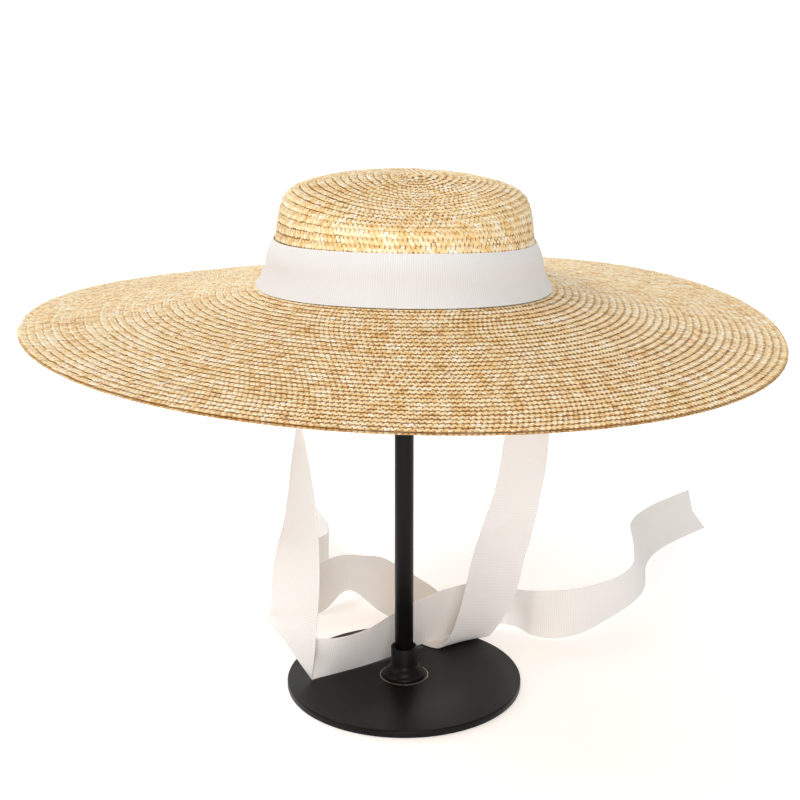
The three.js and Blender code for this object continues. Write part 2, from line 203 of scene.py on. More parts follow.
foot_profile = [(0, 0), (FOOT_RADIUS - FOOT_BURR, 0)]
foot_profile += rounded(FOOT_RADIUS - FOOT_BURR, FOOT_BURR, FOOT_BURR, (-90, 0), 3)[1:]
foot_profile += rounded(FOOT_RADIUS - FOOT_EDGE, FOOT_THICK - FOOT_EDGE, FOOT_EDGE, (0, 90))
foot_profile += [(FOOT_RADIUS * 0.6, FOOT_THICK), (0, FOOT_THICK)]
place("stand_foot", turned("stand_foot", foot_profile, sides=160), powder_coat, "stand_metal", "stand_base")

collar_seat = FOOT_THICK + STAND_GAP
collar_bore = POST_RADIUS + COLLAR_PLAY
collar_rows = [
    (collar_bore, 0), (COLLAR_FOOT - 0.4, 0), (COLLAR_FOOT, 0.4), (COLLAR_FOOT, 0.9),
    (COLLAR_FOOT - 0.25, 1.6), (COLLAR_FOOT - 1.1, 2.4), (COLLAR_FOOT - 2.1, 2.9), (COLLAR_FOOT - 2.4, 3.4),
    (COLLAR_FOOT - 2.5, 4.2), (COLLAR_FOOT - 2.9, 4.9), (COLLAR_FOOT - 4.1, 5.9), (COLLAR_FOOT - 5, 6.7),
    (COLLAR_SLEEVE + 0.3, 7.6), (COLLAR_SLEEVE, 8.8), (COLLAR_SLEEVE, COLLAR_HEIGHT - 0.7),
    (COLLAR_SLEEVE - 0.2, COLLAR_HEIGHT - 0.2), (COLLAR_SLEEVE - 0.7, COLLAR_HEIGHT),
    (COLLAR_SLEEVE - 1.2, COLLAR_HEIGHT), (COLLAR_SLEEVE - 1.5, COLLAR_HEIGHT - 0.5),
    (COLLAR_SLEEVE - 1.7, COLLAR_HEIGHT - 1.9), (collar_bore, COLLAR_HEIGHT - 2.3),
]
place("stand_collar_bell", turned("collar", [(r, z + collar_seat) for r, z in collar_rows], closed=True),
      powder_coat, "stand_metal", "stand_collar")

# Zinc-plated washer under the collar: it was coated with the collar on it, so the coat ends a little
# outside the collar's foot and only a ring of bare zinc shows, dulled in patches.
WASHER_RADIUS = 16.9
WASHER_BARE = 16.2            # the coat ends here, and the ring outside is bare
WASHER_PLAY = 0.02            # above and below it
washer_zinc, tree, shader = new_finish("zinc_plated_washer")
spot = add(tree, "ShaderNodeTexCoord").outputs["Object"]
level = add(tree, "ShaderNodeVectorMath", {0: spot, 1: (1, 1, 0)}, operation="MULTIPLY")
from_post = add(tree, "ShaderNodeVectorMath", {0: level.outputs[0]}, operation="LENGTH")
bare = add(tree, "ShaderNodeMapRange", {
    "Value": from_post.outputs["Value"], "From Min": WASHER_BARE * MM, "From Max": (WASHER_BARE + 0.1) * MM,
})
worn = add(tree, "ShaderNodeTexNoise", {"Vector": spot, "Scale": 300, "Detail": 3})
zinc_colour = paint_ramp(tree, worn.outputs["Fac"], [(0.35, "#8d867b"), (0.65, "#c9c2b5")])
zinc_and_coat = add(tree, "ShaderNodeMix", {
    "Factor": bare.outputs[0], "A": srgb("#121110"), "B": zinc_colour,
}, data_type="RGBA")
tree.links.new(zinc_and_coat.outputs["Result"], shader.inputs["Base Color"])
tree.links.new(bare.outputs[0], shader.inputs["Metallic"])
washer_rows = [(collar_bore, WASHER_PLAY), (WASHER_RADIUS, WASHER_PLAY),
               (WASHER_RADIUS, STAND_GAP - WASHER_PLAY), (collar_bore, STAND_GAP - WASHER_PLAY)]
place("collar_washer", turned("washer", [(r, z + FOOT_THICK) for r, z in washer_rows], closed=True),
      washer_zinc, "stand_metal")

post_top = PAD_TOP - PAD_DROP - PAD_EDGE - STAND_GAP
post_rows = [
    (0, collar_seat), (POST_RADIUS - POST_CHAMFER, collar_seat), (POST_RADIUS, collar_seat + POST_CHAMFER),
    (POST_RADIUS, post_top - POST_CHAMFER), (POST_RADIUS - POST_CHAMFER, post_top), (0, post_top),
]
place("stand_rod", turned("post", post_rows, sides=64), powder_coat, "stand_metal", "stand_post")

pad_low = PAD_TOP - PAD_DROP - PAD_EDGE
pad_rows = [(0, pad_low), (PAD_RADIUS - PAD_SOFT, pad_low)]
pad_rows += rounded(PAD_RADIUS - PAD_SOFT, pad_low + PAD_SOFT, PAD_SOFT, (-90, 0))[1:]
pad_rows += rounded(PAD_RADIUS - PAD_SOFT, PAD_TOP - PAD_DROP - 1.3, PAD_SOFT, (0, 70))
pad_rows += [(r, PAD_TOP - PAD_DROP * (r / PAD_RADIUS) ** 2) for r in (31, 26, 20, 14, 8, 4)]
pad_rows += [(0, PAD_TOP)]
place("stand_pad", turned("pad", pad_rows), powder_coat, "stand_metal", "stand_top")


# The hat's straw: one plaited wheat braid, sewn round and round from the middle of the tip over the
# shoulder, down the crown and out to the brim's edge, each row lapped under the one before it.
ROOT_REACH = 87               # half width of the crown's foot
BRIM_REACH = 241              # and of the brim
CROWN_OVAL = 7                # how much further front and back reach than the sides
BRIM_OVAL = 6
ROOT_HEIGHT = 284.8
HAT_ROLL = 0.82               # degrees: the hat sits a little askew
HAT_TILT = 0.89
ROOT_SADDLE = 2.5             # rise of the crown's foot at front and back
DROP_EVEN = 17.2              # fall of the brim from the crown to its edge, at an even slope
DROP_CURVED = 9.6             # and the rest of its fall, most of it near the crown
WAVE_TWO = (4.2, 1.3)         # two waves round the brim's edge, as their sine and cosine
WAVE_THREE = (1, -1.3)        # and three waves
# Reach and height from the middle of the tip to the crown's foot, at the sides and back, and at the
# front, where the straw has sunk to a lower shoulder
CROWN_PROFILE = [
    (0, 67), (24, 67), (48, 64), (64, 60.2), (72, 57.2), (76.2, 53.7),
    (79.2, 48), (80.2, 44.5), (81.1, 41), (83.2, 28), (85.5, 10), (87, 0),
]
CROWN_FRONT_PROFILE = [
    (0, 67), (20.3, 62.6), (41.1, 57), (56, 53.2), (63.2, 50), (68.1, 48.3),
    (73.6, 45.9), (76.4, 44.3), (79.4, 41.7), (83.2, 28), (85.5, 10), (87, 0),
]
BEND_FADES = (28, 50)         # heights between which the oval's bend fades out
BRIM_SAMPLES = 82
BRIM_PAST = 1.02              # the samples run this far, as a share of the brim's width
STEP = 0.25                   # spacing of the samples along the whole profile
NEAR = 0.5                    # distance along the profile to the points that give its slope
NEAR_TURN = 0.004             # angle round the hat to the points that give the way round

ROW = 4.85                    # what shows of each row
STRIP = 6.9                   # whole width of the braid
STITCH = 3.0                  # length of one plait along the braid
STRIP_TILT = 0.85             # how much deeper a row's lapped edge lies than its free edge
STRIP_DEPTH = 1.0             # depth of its middle below the hat's upper face
FIRST_ROW = 3.4               # reach of the first turn
HEART = (9, -9)               # where the first turn lies, right of the tip's middle and before it
HEART_FADES = (10, 115)       # lengths along the profile between which the rows close up on the middle
SPIRAL_ENDS = (4, 14)         # turns between which the true spiral gives way to stepped rings
STEP_FROM = 0.72              # share of a turn after which a ring steps out by one row
EDGE_ROW_DROP = 1.4           # the last turn lies this much lower, under the brim's edge
EDGE_ROW_OUT = 0.7            # and this much further out


def head_saddle(angle):
    """The head oval's bend, in millimetres: high at front and back."""
    return -ROOT_SADDLE * np.cos(2 * angle)


def edge_wave(angle):
    """The waves of the brim's edge, in millimetres."""
    return (WAVE_TWO[0] * np.sin(2 * angle) + WAVE_TWO[1] * np.cos(2 * angle)
            + WAVE_THREE[0] * np.sin(3 * angle) + WAVE_THREE[1] * np.cos(3 * angle))


def smooth_step(x, low, high):
    share = np.clip((x - low) / (high - low), 0, 1)
    return share * share * (3 - 2 * share)


def profile_samples():
    """Reach and height at the sides and at the front, at even steps along the profile's length."""
    crown, front = np.array(CROWN_PROFILE, float), np.array(CROWN_FRONT_PROFILE, float)
    share = np.linspace(0, BRIM_PAST, BRIM_SAMPLES)[1:]
    brim = np.stack([
        ROOT_REACH + (BRIM_REACH - ROOT_REACH) * share,
        -(DROP_EVEN * share + DROP_CURVED * (1 - (1 - share) ** 2)),
    ], 1)
    line, front_line = np.concatenate([crown, brim]), np.concatenate([front, brim])
    length = np.concatenate([[0], np.cumsum(np.linalg.norm(np.diff(line, axis=0), axis=1))])
    at = np.arange(0, length[-1], STEP)
    reach, height = soften(np.interp(at, length, line[:, 0])), soften(np.interp(at, length, line[:, 1]))
    front_reach = soften(np.interp(at, length, front_line[:, 0]))
    front_height = soften(np.interp(at, length, front_line[:, 1]))
    out = (reach - ROOT_REACH) / (BRIM_REACH - ROOT_REACH) * (at >= length[len(crown) - 1])
    return {"at": at, "reach": reach, "height": height, "front_reach": front_reach,
            "front_height": front_height, "out": out}


def soften(values, window=6):
    """Rounds the profile's corners over a few millimetres and keeps its ends."""
    half = int(window / STEP / 2)
    kernel = np.hanning(2 * half + 3)[1:-1]
    before = 2 * values[0] - values[half:0:-1]
    after = 2 * values[-1] - values[-2:-half - 2:-1]
    padded = np.concatenate([before, values, after])
    return np.convolve(padded, kernel / kernel.sum(), "valid")


PROFILE = profile_samples()
hat_place = (Matrix.Translation((0, 0, ROOT_HEIGHT * MM))
             @ Matrix.Rotation(math.radians(HAT_TILT), 4, "X")
             @ Matrix.Rotation(math.radians(HAT_ROLL), 4, "Y"))
HAT_TURN = np.array(hat_place.to_3x3())
HAT_SHIFT = np.array(hat_place.translation)


def hat_point(at, angle):
    """Points of the hat's upper face, in metres, at lengths along the profile and angles round it.

    Both are counted from the spiral's heart, which lies beside the middle of the tip.
    """
    aside = 1 - smooth_step(at, *HEART_FADES)
    x, y = at * np.cos(angle) + aside * HEART[0], at * np.sin(angle) + aside * HEART[1]
    at, angle = np.hypot(x, y), np.arctan2(y, x)
    value = {key: np.interp(at, PROFILE["at"], PROFILE[key]) for key in PROFILE}
    sunk = np.maximum(0, -np.sin(angle)) ** 2
    reach = value["reach"] + (value["front_reach"] - value["reach"]) * sunk
    height = value["height"] + (value["front_height"] - value["height"]) * sunk
    oval = CROWN_OVAL * np.minimum(1, reach / ROOT_REACH) + (BRIM_OVAL - CROWN_OVAL) * value["out"]
    bend = np.minimum(1 - smooth_step(height, *BEND_FADES), 1 - value["out"])
    height = height + bend * head_saddle(angle) + value["out"] * edge_wave(angle)
    local = np.stack([reach * np.cos(angle), (reach + oval) * np.sin(angle), height], -1) * MM
    return local @ HAT_TURN.T + HAT_SHIFT


def unit(vectors):
    return vectors / np.linalg.norm(vectors, axis=-1, keepdims=True)


def hat_axes(at, angle):
    """The ways along the row, inwards across it and out of the face, at the same places."""
    outward = unit(hat_point(at + NEAR, angle) - hat_point(at - NEAR, angle))
    along = unit(hat_point(at, angle + NEAR_TURN) - hat_point(at, angle - NEAR_TURN))
    outward = unit(outward - np.sum(outward * along, -1, keepdims=True) * along)
    return along, -outward, np.cross(outward, along)


def row_edge(turns):
    """Length along the profile of the braid's free edge after that many turns.

    The tip is a true spiral. Towards the brim's edge each turn keeps its reach for most of the way
    and steps out by one row on the right, as the sewer does to keep the brim round.
    """
    whole, part = np.divmod(turns, 1)
    share = smooth_step(turns, *SPIRAL_ENDS)
    stepped = whole + smooth_step(part, STEP_FROM, 1.0)
    return FIRST_ROW + ROW * ((1 - share) * turns + share * stepped)


BRIM_EDGE_AT = float(np.interp(1, PROFILE["out"], PROFILE["at"]))
ROWS = round((BRIM_EDGE_AT - FIRST_ROW) / ROW) + 1
TURNS = ROWS + 1              # with the doubled row under the brim's edge
ROW_SCALE = (BRIM_EDGE_AT - FIRST_ROW) / ((ROWS - 1) * ROW)
START_ANGLE = math.radians(60)
TURN_SAMPLES = 240            # for each turn
EDGE_ROW_BEGINS = 0.1         # turns over which the last row goes under the edge
CORE_FREE = 3.0               # reach of the braid's core from its middle to the free edge
CORE_LAPPED = 4.9             # and to the other side, where it is pressed under the row before
CORE_THICK = 0.5
LAP_SHADE = 1.5               # how far in from its middle a plait gets the full painted shade of the row before
LAP_SOFT = 0.4                # width over which that painted shade comes on
MIDDLE_REACH = 0.6            # least reach of the braid's middle, at the heart of the spiral
LEAF_DROP = 0.22              # from a straw's middle to its edges
CORE_TONE = 0.2               # of the core's straw
UNEVEN_HEIGHT = 0.06          # spread of the plaits' heights
UNEVEN_PLACE = 0.13           # and of their places across the row
UNEVEN_TURN = 2.5             # and of their turns, in degrees
UNEVEN_SIZE = 0.045           # and of their sizes, as a share

fine_turns = np.linspace(0, TURNS, TURNS * TURN_SAMPLES + 1)
fine_edge = FIRST_ROW + (row_edge(fine_turns) - FIRST_ROW) * ROW_SCALE
fine_under = smooth_step(fine_turns, ROWS - EDGE_ROW_BEGINS, ROWS)
fine_edge = np.minimum(fine_edge, BRIM_EDGE_AT) + fine_under * EDGE_ROW_OUT
fine_angle = START_ANGLE + fine_turns * 2 * math.pi
fine_middle = np.maximum(fine_edge - STRIP / 2, MIDDLE_REACH)
fine_place = hat_point(fine_middle, fine_angle)
fine_length = np.concatenate([[0], np.cumsum(np.linalg.norm(np.diff(fine_place, axis=0), axis=1))]) / MM
STITCHES = int(fine_length[-1] / STITCH)
stitch_at = (np.arange(STITCHES) + 0.5) * STITCH
stitch_turns = np.interp(stitch_at, fine_length, fine_turns)

rng = np.random.default_rng(11)


def straw_tones(count, straws=5, shortest=20, longest=60, darkest=0.25, spread=0.6, uneven=0.05):
    """A tone for each plait on one side of the braid. Each straw of the plait comes to the top once in
    `straws` plaits and runs on for a few dozen plaits before a new straw is laid in."""
    tones = np.zeros(count)
    for straw in range(straws):
        at = int(rng.integers(-longest, 0))
        while at < count:
            run = int(rng.integers(shortest, longest))
            tone = darkest + spread * rng.beta(2.4, 2.2)
            places = np.arange(max(at, 0), min(at + run, count))
            tones[places[places % straws == straw]] = tone
            at += run
    return tones + rng.normal(0, uneven, count)


free_tone = straw_tones(STITCHES)
lapped_tone = straw_tones(STITCHES)


def straw_leaf(rows, face, other):
    """One straw of the plait as it shows between two crossings: a closed leaf, arched on the upper side.

    rows are (x, y, height, half-width) along its middle. face is 1 for the upper side of the braid
    and -1 for the under side.
    """
    corners, faces, marks, painted_light_share = [], [], [], []
    path = np.array([row[:2] for row in rows], float)
    shares = (-1, 0, 1) if face > 0 else (-1, 1)
    for i, (x, y, height, half) in enumerate(rows):
        ahead = path[min(i + 1, len(path) - 1)] - path[max(i - 1, 0)]
        side = np.array([-ahead[1], ahead[0]]) / np.linalg.norm(ahead)
        for share in shares:
            px, py = np.array([x, y]) + side * half * share
            corners.append((px, py, face * (height - LEAF_DROP * abs(share))))
            marks.append(((share + 1) / 2, i / (len(rows) - 1)))
            # painted shade: at 1 or more the corner keeps its colour, at 0 or less it takes the full
            # painted shade of the row before
            painted_light_share.append((LAP_SHADE - face * py) / LAP_SOFT)
    last, wide = len(rows) - 1, len(shares)
    for i in range(last):
        for k in range(wide - 1):
            a = wide * i + k
            faces.append((a, a + wide, a + wide + 1, a + 1))
    rim = list(range(wide)) + [wide * i + wide - 1 for i in range(1, last)]
    rim += list(range(wide * last + wide - 1, wide * last - 1, -1))
    rim += [wide * i for i in range(last - 1, 0, -1)]
    faces.append(tuple(rim))
    return corners, faces, marks, [other] * len(corners), painted_light_share


def plait_unit():
    """The repeat of the plait: on both sides two straws that slant to opposite ways, one from the middle
    to the edge that shows and one across the middle."""
    edge_straw = [(-0.8, -0.55, 0.36, 1.05), (-0.05, -2.0, 0.64, 1.36), (0.4, -3.42, 0.22, 1.32)]
    middle_straw = [(-0.8, -1.3, 0.3, 0.9), (0.0, 0.25, 0.6, 1.28), (0.8, 2.0, 0.3, 1.05)]
    middle_straw = [(x + STITCH / 2, y, z, w) for x, y, z, w in middle_straw]
    corners, faces, marks, others, painted_light_share = [], [], [], [], []
    for rows, face, other in ((edge_straw, 1, 0), (middle_straw, 1, 1),
                              (edge_straw, -1, 1), (middle_straw, -1, 0)):
        leaf = straw_leaf([(x, face * y, z, w) for x, y, z, w in rows], face, other)
        faces += [tuple(k + len(corners) for k in f) for f in leaf[1]]
        corners += leaf[0]
        marks += leaf[2]
        others += leaf[3]
        painted_light_share += leaf[4]
    mesh = bpy.data.meshes.new("plait_unit")
    mesh.from_pydata([tuple(c * MM for c in corner) for corner in corners], [], faces)
    shape = bmesh.new()
    shape.from_mesh(mesh)
    bmesh.ops.recalc_face_normals(shape, faces=shape.faces)
    shape.to_mesh(mesh)
    shape.free()
    uv = mesh.uv_layers.new(name="straw_uv")
    for loop in mesh.loops:
        uv.data[loop.index].uv = marks[loop.vertex_index]
    mesh.attributes.new("side", "FLOAT", "POINT").data.foreach_set("value", others)
    # The share of light for the painted shade in the straw's colour.
    mesh.attributes.new("painted_light_share", "FLOAT", "POINT").data.foreach_set("value", painted_light_share)
    mesh.shade_smooth()
    mesh.set_sharp_from_angle(angle=math.radians(SHARP_FROM))
    piece = bpy.data.objects.new("plait_unit", mesh)
    return piece


def braid_guide(name, first, last):
    """The core of the braid between two plaits, with a loose point where each plait is laid.

    The points carry the turn of the plait and the tones of its straws.
    """
    numbers = np.arange(first, last)
    along_at = np.concatenate([stitch_at[numbers] - STITCH / 2, [stitch_at[last - 1] + STITCH / 2]])
    turns = np.interp(along_at, fine_length, fine_turns)
    edge = np.interp(turns, fine_turns, fine_edge)
    angle = START_ANGLE + turns * 2 * math.pi
    under = np.interp(turns, fine_turns, fine_under) * EDGE_ROW_DROP
    ring = []
    for across, lift in ((-CORE_FREE, 1), (CORE_LAPPED, 1), (CORE_LAPPED, -1), (-CORE_FREE, -1)):
        at = np.maximum(edge - STRIP / 2 - across, MIDDLE_REACH)
        depth = STRIP_DEPTH + under + STRIP_TILT * across / STRIP - lift * CORE_THICK / 2
        _, _, out = hat_axes(at, angle)
        ring.append(hat_point(at, angle) - out * (depth * MM)[:, None])
    core = np.stack(ring, 1).reshape(-1, 3)
    faces = []
    for i in range(len(along_at) - 1):
        for k in range(4):
            a, b = 4 * i + k, 4 * i + (k + 1) % 4
            faces.append((a, a + 4, b + 4, b))
    faces.append((0, 1, 2, 3))
    end = 4 * (len(along_at) - 1)
    faces.append((end + 3, end + 2, end + 1, end))

    turns = stitch_turns[numbers]
    edge = np.interp(turns, fine_turns, fine_edge)
    angle = START_ANGLE + turns * 2 * math.pi
    middle = np.maximum(edge - STRIP / 2, MIDDLE_REACH)
    along, inward, out = hat_axes(middle, angle)
    slope = math.asin(STRIP_TILT / STRIP)
    tilted_in = inward * math.cos(slope) - out * math.sin(slope)
    tilted_out = out * math.cos(slope) + inward * math.sin(slope)
    under = np.interp(turns, fine_turns, fine_under) * EDGE_ROW_DROP
    lift = rng.normal(0, UNEVEN_HEIGHT, len(numbers)) - STRIP_DEPTH - under
    points = hat_point(middle, angle) + out * (lift * MM)[:, None]
    points += inward * (rng.normal(0, UNEVEN_PLACE, len(numbers)) * MM)[:, None]
    skew = rng.normal(0, math.radians(UNEVEN_TURN), len(numbers))
    x = along * np.cos(skew)[:, None] + tilted_in * np.sin(skew)[:, None]
    y = np.cross(tilted_out, x)
    turn = [Matrix(np.stack(axes, 1).tolist()).to_euler() for axes in zip(x, y, tilted_out)]

    mesh = bpy.data.meshes.new(name)
    mesh.from_pydata(np.concatenate([core, points]).tolist(), [], faces)
    shape = bmesh.new()
    shape.from_mesh(mesh)
    bmesh.ops.recalc_face_normals(shape, faces=shape.faces)
    shape.to_mesh(mesh)
    shape.free()
    blank = np.zeros(len(core))
    carried = {
        "plait": np.concatenate([blank, np.ones(len(points))]),
        "free_tone": np.concatenate([blank + CORE_TONE, free_tone[numbers]]),
        "lapped_tone": np.concatenate([blank + CORE_TONE, lapped_tone[numbers]]),
        "swell": np.concatenate([blank, 1 + rng.normal(0, UNEVEN_SIZE, len(points))]),
    }
    for key, values in carried.items():
        mesh.attributes.new(key, "FLOAT", "POINT").data.foreach_set("value", values.astype(np.float32))
    turns_flat = np.concatenate([np.zeros(core.size), np.array([list(t) for t in turn]).ravel()])
    carried_turn = mesh.attributes.new("turn", "FLOAT_VECTOR", "POINT")
    carried_turn.data.foreach_set("vector", turns_flat.astype(np.float32))
    guide = bpy.data.objects.new(name, mesh)
    scene.collection.objects.link(guide)
    return guide


def sewing_tree():
    """Geometry nodes that lay the plait on every point of a guide and keep the braid's core."""
    made = bpy.data.node_groups.new("lay_the_plait", "GeometryNodeTree")
    face = made.interface
    face.new_socket("Guide", in_out="INPUT", socket_type="NodeSocketGeometry")
    face.new_socket("Plait", in_out="INPUT", socket_type="NodeSocketObject")
    face.new_socket("Straw", in_out="INPUT", socket_type="NodeSocketMaterial")
    face.new_socket("Braid", in_out="OUTPUT", socket_type="NodeSocketGeometry")
    given = add(made, "NodeGroupInput").outputs
    named = {}
    for key, kind in (("plait", "FLOAT"), ("turn", "FLOAT_VECTOR"), ("swell", "FLOAT"),
                      ("free_tone", "FLOAT"), ("lapped_tone", "FLOAT"), ("side", "FLOAT")):
        found = add(made, "GeometryNodeInputNamedAttribute", {"Name": key}, data_type=kind)
        named[key] = found.outputs["Attribute"]
    is_plait = add(made, "FunctionNodeCompare", {"A": named["plait"], "B": 0.5}, operation="GREATER_THAN")
    plait = add(made, "GeometryNodeObjectInfo", {"Object": given["Plait"]}).outputs["Geometry"]
    laid = add(made, "GeometryNodeInstanceOnPoints", {
        "Points": given["Guide"], "Selection": is_plait.outputs[0], "Instance": plait,
        "Rotation": named["turn"], "Scale": named["swell"],
    })
    real = add(made, "GeometryNodeRealizeInstances", {"Geometry": laid.outputs[0]})
    core = add(made, "GeometryNodeDeleteGeometry", {
        "Geometry": given["Guide"], "Selection": is_plait.outputs[0],
    })
    both = add(made, "GeometryNodeJoinGeometry")
    made.links.new(real.outputs[0], both.inputs[0])
    made.links.new(core.outputs[0], both.inputs[0])
    toned = add(made, "ShaderNodeMix", {
        "Factor": named["side"], "A": named["free_tone"], "B": named["lapped_tone"],
    }, data_type="FLOAT")
    stored = add(made, "GeometryNodeStoreNamedAttribute", {
        "Geometry": both.outputs[0], "Name": "tone", "Value": toned.outputs["Result"],
    }, data_type="FLOAT", domain="POINT")
    painted = add(made, "GeometryNodeSetMaterial", {
        "Geometry": stored.outputs[0], "Material": given["Straw"],
    })
    add(made, "NodeGroupOutput", {"Braid": painted.outputs[0]})
    return made


def sewn(name, first, last, *nodes):
    """One length of the sewn braid as a plain mesh, standing for those CAD nodes."""
    guide = braid_guide(name + "_guide", first, last)
    modifier = guide.modifiers.new("sewing", "NODES")
    modifier.node_group = sewing
    inputs = {s.name: s.identifier for s in sewing.interface.items_tree if s.in_out == "INPUT"}
    modifier[inputs["Plait"]] = plait
    modifier[inputs["Straw"]] = wheat_straw
    evaluated = guide.evaluated_get(bpy.context.evaluated_depsgraph_get())
    mesh = bpy.data.meshes.new_from_object(evaluated)
    bpy.data.objects.remove(guide)
    for spare in ("plait", "turn", "swell", "free_tone", "lapped_tone", "side"):
        if spare in mesh.attributes:
            mesh.attributes.remove(mesh.attributes[spare])
    mesh.name = name
    piece = bpy.data.objects.new(name, mesh)
    scene.collection.objects.link(piece)
    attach(piece, "root")
    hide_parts(*nodes)
    return piece


# Wheat straw, split, flattened and plaited: its hard outer skin has a natural gloss, its fibres run
# along each straw, and straws of one braid differ from cream to amber. A painted shade darkens each
# plait towards dark amber where it runs in under the row before, and darkens the braid's core all over.
wheat_straw, tree, shader = new_finish("plaited_wheat_straw", Roughness=0.5, Specular_IOR_Level=0.45)
tone = add(tree, "ShaderNodeAttribute", attribute_name="tone").outputs["Fac"]
spot = add(tree, "ShaderNodeTexCoord").outputs["Object"]
patches = add(tree, "ShaderNodeTexNoise", {"Vector": spot, "Scale": 85, "Detail": 3, "Roughness": 0.6})
patch_shift = add(tree, "ShaderNodeMapRange", {
    "Value": patches.outputs["Fac"], "From Min": 0.3, "From Max": 0.7, "To Min": -0.2, "To Max": 0.2,
})
grain = add(tree, "ShaderNodeTexNoise", {"Vector": spot, "Scale": 700, "Detail": 2})
grain_shift = add(tree, "ShaderNodeMapRange", {
    "Value": grain.outputs["Fac"], "From Min": 0.3, "From Max": 0.7, "To Min": -0.09, "To Max": 0.09,
})
shifted = add(tree, "ShaderNodeMath", {0: tone, 1: patch_shift.outputs[0]}, operation="ADD")
shifted = add(tree, "ShaderNodeMath", {0: shifted.outputs[0], 1: grain_shift.outputs[0]}, operation="ADD")
straw_colour = paint_ramp(tree, shifted.outputs[0], [
    (0.05, "#d19b51"), (0.3, "#eec37c"), (0.55, "#f9dea8"), (0.8, "#fdedca"), (1.0, "#fff8eb"),
])
# Painted shade: near the row before, and on the braid's core, the colour is mixed towards dark amber. The
# core has no share of light and so reads 0. This stands for the shade under each row's free edge.
painted_light_share = add(tree, "ShaderNodeAttribute", attribute_name="painted_light_share").outputs["Fac"]
painted_lap_shade = add(tree, "ShaderNodeMapRange", {"Value": painted_light_share, "To Min": 0.74, "To Max": 0})
straw_and_painted_shade = add(tree, "ShaderNodeMix", {
    "Factor": painted_lap_shade.outputs[0], "A": straw_colour, "B": srgb("#935c1f"),
}, data_type="RGBA")
tree.links.new(straw_and_painted_shade.outputs["Result"], shader.inputs["Base Color"])
across = add(tree, "ShaderNodeUVMap", uv_map="straw_uv").outputs["UV"]
fibre_place = add(tree, "ShaderNodeMapping", {"Vector": across, "Scale": (9, 0.8, 1)})
fibre = add(tree, "ShaderNodeTexNoise", {"Vector": fibre_place.outputs[0], "Scale": 1.5, "Detail": 2})
ridges = add(tree, "ShaderNodeBump", {
    "Height": fibre.outputs["Fac"], "Strength": 0.35, "Distance": 0.00025,
})
tree.links.new(ridges.outputs["Normal"], shader.inputs["Normal"])

plait = plait_unit()
sewing = sewing_tree()
crown_turns = (np.interp(ROOT_REACH, PROFILE["reach"], PROFILE["at"]) - FIRST_ROW) / (ROW * ROW_SCALE)
crown_last = int(np.searchsorted(stitch_turns, crown_turns))
BRIM_PIECES = 4
brim_cuts = np.linspace(crown_last, STITCHES, BRIM_PIECES + 1).astype(int)
sewn("straw_crown", 0, crown_last, "crown")
for number, (first, last) in enumerate(zip(brim_cuts, brim_cuts[1:]), 1):
    sewn(f"straw_brim_{number}", first, last, "brim")
bpy.data.objects.remove(plait)


# The band: white grosgrain drawn round the foot of the crown and stretched over the slope to the
# brim, so that it stands a little off the straw. It is one closed ring, without the seam of its ends.
BAND_PROFILE = [              # outer face, reach and height from its upper edge down
    (83.7, 28.2), (86.3, 23.4), (88.2, 18.4), (89, 13), (89.9, 9), (92, 3.9), (95.2, -1.7),
]
BAND_THICK = 0.4
BAND_SOFT = 9                 # length over which its corners are rounded
BAND_COLUMNS = 24
BAND_AROUND = 300


def band_ring(reach, height, angle):
    """A ring of the band, in metres, bent as the head oval is."""
    weight = 1 - smooth_step(height, *BEND_FADES)
    oval = CROWN_OVAL * min(1, reach / ROOT_REACH)
    local = np.stack([
        reach * np.cos(angle), (reach + oval) * np.sin(angle), height + weight * head_saddle(angle),
    ], -1) * MM
    return local @ HAT_TURN.T + HAT_SHIFT


def ribbon_mesh(name, faces_out, faces_in, looped):
    """A closed ribbon from the grids of its two faces, with its flat place in metres as UV."""
    rows, columns = faces_out.shape[:2]
    points = np.concatenate([faces_out.reshape(-1, 3), faces_in.reshape(-1, 3)])

    def at(side, i, k):
        return side * rows * columns + (i % rows) * columns + k

    faces = []
    for i in range(rows if looped else rows - 1):
        for k in range(columns - 1):
            faces.append((at(0, i, k), at(0, i + 1, k), at(0, i + 1, k + 1), at(0, i, k + 1)))
            faces.append((at(1, i, k), at(1, i, k + 1), at(1, i + 1, k + 1), at(1, i + 1, k)))
        for k in (0, columns - 1):
            faces.append((at(0, i, k), at(1, i, k), at(1, i + 1, k), at(0, i + 1, k)))
    if not looped:
        for i in (0, rows - 1):
            for k in range(columns - 1):
                faces.append((at(0, i, k), at(0, i, k + 1), at(1, i, k + 1), at(1, i, k)))
    mesh = bpy.data.meshes.new(name)
    mesh.from_pydata(points.tolist(), [], faces)
    middle = faces_out[:, columns // 2]
    ends = np.concatenate([middle, middle[:1]]) if looped else middle
    length = np.concatenate([[0], np.cumsum(np.linalg.norm(np.diff(ends, axis=0), axis=1))])
    width = np.concatenate([[0], np.cumsum(np.linalg.norm(np.diff(faces_out[0], axis=0), axis=1))])
    uv = mesh.uv_layers.new(name="ribbon_uv")
    for polygon in mesh.polygons:
        rows_here = {
            mesh.loops[j].vertex_index % (rows * columns) // columns for j in polygon.loop_indices
        }
        closes = looped and rows_here == {0, rows - 1}
        for j in polygon.loop_indices:
            i, k = divmod(mesh.loops[j].vertex_index % (rows * columns), columns)
            uv.data[j].uv = (length[-1] if closes and i == 0 else length[i], width[k])
    shape = bmesh.new()
    shape.from_mesh(mesh)
    bmesh.ops.recalc_face_normals(shape, faces=shape.faces)
    shape.to_mesh(mesh)
    shape.free()
    return mesh


